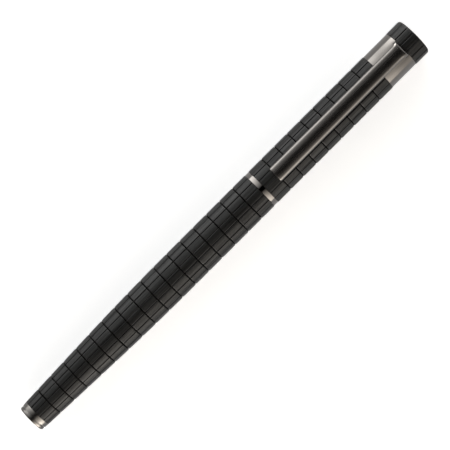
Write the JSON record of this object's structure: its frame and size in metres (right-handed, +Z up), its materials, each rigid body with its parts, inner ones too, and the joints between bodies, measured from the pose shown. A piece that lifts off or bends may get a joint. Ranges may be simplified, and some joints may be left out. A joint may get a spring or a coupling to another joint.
{
  "type": "rollerball pen",
  "caption": "Capped rollerball pen with a panelled black barrel and cap, metal band and spring clip, screw-off barrel and a sprung refill.",
  "frame": {"origin": "halfway along the capped pen, on the surface it lies on", "axes": "+X along the pen towards the cap's end, +Z up through the clip"},
  "size_m": [0.139, 0.011, 0.013],
  "materials": {
    "black_lacquer": "satin",
    "grip_lacquer": "gloss",
    "gunmetal": "polished",
    "brass": "satin",
    "spring_steel": "satin",
    "refill_steel": "satin",
    "refill_nickel": "polished",
    "carbide": "polished",
    "black_plastic": "matte",
    "refill_plastic": "satin",
    "ink_fibre": "matte",
    "seal_rubber": "matte"
  },
  "bodies": {
    "section": {"section_core": "brass", "section_ring": "gunmetal", "grip_sleeve": "grip_lacquer", "nose_cone": "gunmetal"},
    "snap_ring": {"snap_ring": "spring_steel"},
    "cap": {"cap_lip_ring": "gunmetal", "cap_sleeve": "black_lacquer", "cap_liner": "black_plastic", "inner_cap": "black_plastic", "tip_seal": "seal_rubber", "cap_band": "gunmetal", "clip_ring": "spring_steel", "cap_crown": "black_lacquer", "crown_screw": "spring_steel"},
    "clip": {"clip": "gunmetal"},
    "spring": {"refill_spring": "spring_steel"},
    "barrel": {"barrel_sleeve": "black_lacquer", "barrel_thread_bush": "brass", "tail_bush": "black_plastic", "tail_ring": "gunmetal", "tail_button": "gunmetal"},
    "refill": {"refill_tube": "refill_steel", "refill_end_plug": "refill_plastic", "ink_reservoir": "ink_fibre", "refill_front": "refill_plastic", "feed_rod": "ink_fibre", "refill_tip": "refill_nickel"},
    "ball": {"writing_ball": "carbide"}
  },
  "joints": [
    {"name": "cap_pull", "type": "slide", "parent": "section", "child": "snap_ring", "axis": [1, 0, 0], "range_m": [0, 0.06]},
    {"name": "cap_spin", "type": "hinge", "parent": "snap_ring", "child": "cap", "pos_m": [0.01605, 0, 0.00547], "axis": [1, 0, 0], "continuous": true},
    {"name": "clip_flex", "type": "hinge", "parent": "cap", "child": "clip", "pos_m": [0.06385, 0, 0.01073], "axis": [0, 1, 0], "range_deg": [0, 3.5], "stiffness_Nm_per_rad": 5},
    {"name": "barrel_travel", "type": "slide", "parent": "section", "child": "spring", "axis": [-1, 0, 0], "range_m": [0, 0.0075]},
    {"name": "barrel_turn", "type": "hinge", "parent": "spring", "child": "barrel", "pos_m": [0, 0, 0.00547], "axis": [-1, 0, 0], "range_deg": [0, 3600]},
    {"name": "refill_slide", "type": "slide", "parent": "section", "child": "refill", "axis": [-1, 0, 0], "range_m": [0, 0.001], "stiffness_N_per_m": 300, "springref_m": -0.002, "deforming": ["refill_spring"]},
    {"name": "ball_roll", "type": "hinge", "parent": "refill", "child": "ball", "pos_m": [0.05395, 0, 0.00547], "axis": [0, 1, 0], "continuous": true}
  ],
  "couplings": [
    {"joint": "barrel_travel", "follows": "barrel_turn", "m_per_rad": 0.00011937}
  ]
}
